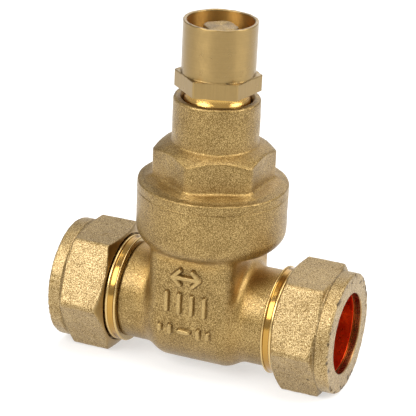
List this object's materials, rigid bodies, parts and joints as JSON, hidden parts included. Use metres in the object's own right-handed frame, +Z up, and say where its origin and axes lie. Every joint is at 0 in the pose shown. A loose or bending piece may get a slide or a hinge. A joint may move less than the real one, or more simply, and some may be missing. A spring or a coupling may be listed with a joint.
{
  "type": "lockshield gate valve",
  "caption": "Small brass lockshield valve: two compression pipe ends, round screwed bonnet, and a hidden spindle in a shield cup that lifts a wedge gate.",
  "frame": {"origin": "on the ground under the centre of the valve body, at the lowest line of the two end collars", "axes": "+Z up along the spindle, +X along the pipe axis, -Y towards the cast marks on the body's front"},
  "size_m": [0.0562, 0.028, 0.0675],
  "materials": {
    "cast_brass": "blasted cast brass, fine grain",
    "forged_brass": "blasted forged brass, machined ends",
    "machined_brass": "bright turned brass",
    "olive_copper": "bright copper",
    "fibre": "red fibre",
    "washer_plastic": "white low-friction plastic",
    "packing": "graphited yarn"
  },
  "bodies": {
    "valve_body": {"body_casting": "cast_brass", "bonnet": "cast_brass", "bonnet_gasket": "fibre", "thrust_washer": "washer_plastic", "packing_ring_lower": "packing", "packing_ring_middle": "packing", "packing_ring_upper": "packing"},
    "gate": {"wedge_gate": "cast_brass"},
    "spindle": {"spindle": "machined_brass"},
    "gland": {"gland_follower": "machined_brass"},
    "gland_nut": {"lockshield_nut": "machined_brass"},
    "left_olive": {"olive_left": "olive_copper"},
    "left_nut": {"compression_nut_left": "forged_brass"},
    "right_olive": {"olive_right": "olive_copper"},
    "right_nut": {"compression_nut_right": "forged_brass"}
  },
  "joints": [
    {"name": "spindle_turn", "type": "hinge", "parent": "valve_body", "child": "spindle", "pos_m": [0, 0, 0.0399], "axis": [0, 0, 1], "range_deg": [0, 2341]},
    {"name": "gate_lift", "type": "slide", "parent": "valve_body", "child": "gate", "axis": [0, 0, 1], "range_m": [0, 0.013]},
    {"name": "gland_rise", "type": "slide", "parent": "valve_body", "child": "gland", "axis": [0, 0, 1], "range_m": [0, 0.002]},
    {"name": "gland_nut_turn", "type": "hinge", "parent": "gland", "child": "gland_nut", "pos_m": [0, 0, 0.0561], "axis": [0, 0, 1], "range_deg": [0, 721]},
    {"name": "left_olive_slide", "type": "slide", "parent": "valve_body", "child": "left_olive", "axis": [-1, 0, 0], "range_m": [0, 0.00601]},
    {"name": "left_nut_turn", "type": "hinge", "parent": "left_olive", "child": "left_nut", "pos_m": [-0.0225, 0, 0.0114], "axis": [-1, 0, 0], "range_deg": [0, 1440]},
    {"name": "right_olive_slide", "type": "slide", "parent": "valve_body", "child": "right_olive", "axis": [1, 0, 0], "range_m": [0, 0.00601]},
    {"name": "right_nut_turn", "type": "hinge", "parent": "right_olive", "child": "right_nut", "pos_m": [0.0225, 0, 0.0114], "axis": [1, 0, 0], "range_deg": [0, 1440]}
  ],
  "couplings": [
    {"joint": "spindle_turn", "follows": "gate_lift", "rad_per_m": 3141.6},
    {"joint": "gland_nut_turn", "follows": "gland_rise", "rad_per_m": 6283.2},
    {"joint": "left_olive_slide", "follows": "left_nut_turn", "m_per_rad": 0.00023873},
    {"joint": "right_olive_slide", "follows": "right_nut_turn", "m_per_rad": 0.00023873}
  ]
}
